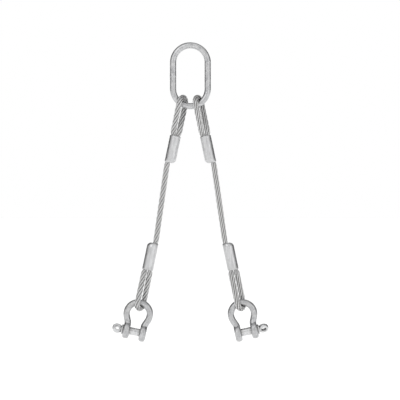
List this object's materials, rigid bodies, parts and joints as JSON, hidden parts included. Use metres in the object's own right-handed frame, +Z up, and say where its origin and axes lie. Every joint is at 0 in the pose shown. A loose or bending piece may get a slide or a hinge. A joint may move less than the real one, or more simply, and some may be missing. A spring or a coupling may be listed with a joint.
{
  "type": "wire rope sling",
  "caption": "Two-leg wire rope sling: oblong master link, pressed-ferrule rope legs with soft eyes, and screw-pin bow shackles at the lower ends.",
  "frame": {"origin": "inside top of the master link, where a hook bears, in the middle of the bar", "axes": "+Z up, +X across the link in the plane of the two legs, +Y towards the back"},
  "size_m": [0.3296, 0.0438, 0.6303],
  "materials": {
    "link_steel": "hot-dip galvanised, satin",
    "rope_wire": "drawn galvanised wire",
    "rope_core": "drawn wire, greased",
    "ferrule_aluminium": "pressed, satin",
    "shackle_steel": "forged, hot-dip galvanised",
    "pin_steel": "zinc plated"
  },
  "bodies": {
    "master_link": {"master_link": "link_steel"},
    "right_upper_eye": {"right_upper_strand_1": "rope_wire", "right_upper_strand_2": "rope_wire", "right_upper_strand_3": "rope_wire", "right_upper_strand_4": "rope_wire", "right_upper_strand_5": "rope_wire", "right_upper_strand_6": "rope_wire", "right_upper_core": "rope_core", "right_upper_ferrule": "ferrule_aluminium"},
    "right_rope_mid": {"right_mid_strand_1": "rope_wire", "right_mid_strand_2": "rope_wire", "right_mid_strand_3": "rope_wire", "right_mid_strand_4": "rope_wire", "right_mid_strand_5": "rope_wire", "right_mid_strand_6": "rope_wire", "right_mid_core": "rope_core"},
    "right_lower_eye": {"right_lower_strand_1": "rope_wire", "right_lower_strand_2": "rope_wire", "right_lower_strand_3": "rope_wire", "right_lower_strand_4": "rope_wire", "right_lower_strand_5": "rope_wire", "right_lower_strand_6": "rope_wire", "right_lower_core": "rope_core", "right_lower_ferrule": "ferrule_aluminium"},
    "right_shackle": {"right_shackle": "shackle_steel"},
    "right_pin": {"right_pin": "pin_steel"},
    "left_upper_eye": {"left_upper_strand_1": "rope_wire", "left_upper_strand_2": "rope_wire", "left_upper_strand_3": "rope_wire", "left_upper_strand_4": "rope_wire", "left_upper_strand_5": "rope_wire", "left_upper_strand_6": "rope_wire", "left_upper_core": "rope_core", "left_upper_ferrule": "ferrule_aluminium"},
    "left_rope_mid": {"left_mid_strand_1": "rope_wire", "left_mid_strand_2": "rope_wire", "left_mid_strand_3": "rope_wire", "left_mid_strand_4": "rope_wire", "left_mid_strand_5": "rope_wire", "left_mid_strand_6": "rope_wire", "left_mid_core": "rope_core"},
    "left_lower_eye": {"left_lower_strand_1": "rope_wire", "left_lower_strand_2": "rope_wire", "left_lower_strand_3": "rope_wire", "left_lower_strand_4": "rope_wire", "left_lower_strand_5": "rope_wire", "left_lower_strand_6": "rope_wire", "left_lower_core": "rope_core", "left_lower_ferrule": "ferrule_aluminium"},
    "left_shackle": {"left_shackle": "shackle_steel"},
    "left_pin": {"left_pin": "pin_steel"}
  },
  "joints": [
    {"name": "right_leg_spread", "type": "hinge", "parent": "master_link", "child": "right_upper_eye", "pos_m": [0, 0, -0.085], "axis": [0, -1, 0], "range_deg": [-6, 48]},
    {"name": "right_rope_bend", "type": "hinge", "parent": "right_upper_eye", "child": "right_rope_mid", "pos_m": [0.05482, 0, -0.28294], "axis": [0.9789, 0, 0.2045], "range_deg": [-30, 30]},
    {"name": "right_rope_sway", "type": "hinge", "parent": "right_rope_mid", "child": "right_lower_eye", "pos_m": [0.06689, 0, -0.36725], "axis": [0, 1, 0], "range_deg": [-25, 25]},
    {"name": "right_shackle_rock", "type": "hinge", "parent": "right_lower_eye", "child": "right_shackle", "pos_m": [0.10472, 0, -0.53506], "axis": [0.9789, 0, 0.2045], "range_deg": [-90, 90]},
    {"name": "right_pin_draw", "type": "slide", "parent": "right_shackle", "child": "right_pin", "axis": [0.9789, 0, 0.2045], "range_m": [0, 0.08]},
    {"name": "left_leg_spread", "type": "hinge", "parent": "master_link", "child": "left_upper_eye", "pos_m": [0, 0, -0.085], "axis": [0, 1, 0], "range_deg": [-6, 48]},
    {"name": "left_rope_bend", "type": "hinge", "parent": "left_upper_eye", "child": "left_rope_mid", "pos_m": [-0.05482, 0, -0.28294], "axis": [-0.9789, 0, 0.2045], "range_deg": [-30, 30]},
    {"name": "left_rope_sway", "type": "hinge", "parent": "left_rope_mid", "child": "left_lower_eye", "pos_m": [-0.06689, 0, -0.36725], "axis": [0, 1, 0], "range_deg": [-25, 25]},
    {"name": "left_shackle_rock", "type": "hinge", "parent": "left_lower_eye", "child": "left_shackle", "pos_m": [-0.10472, 0, -0.53506], "axis": [-0.9789, 0, 0.2045], "range_deg": [-90, 90]},
    {"name": "left_pin_draw", "type": "slide", "parent": "left_shackle", "child": "left_pin", "axis": [-0.9789, 0, 0.2045], "range_m": [0, 0.08]}
  ]
}
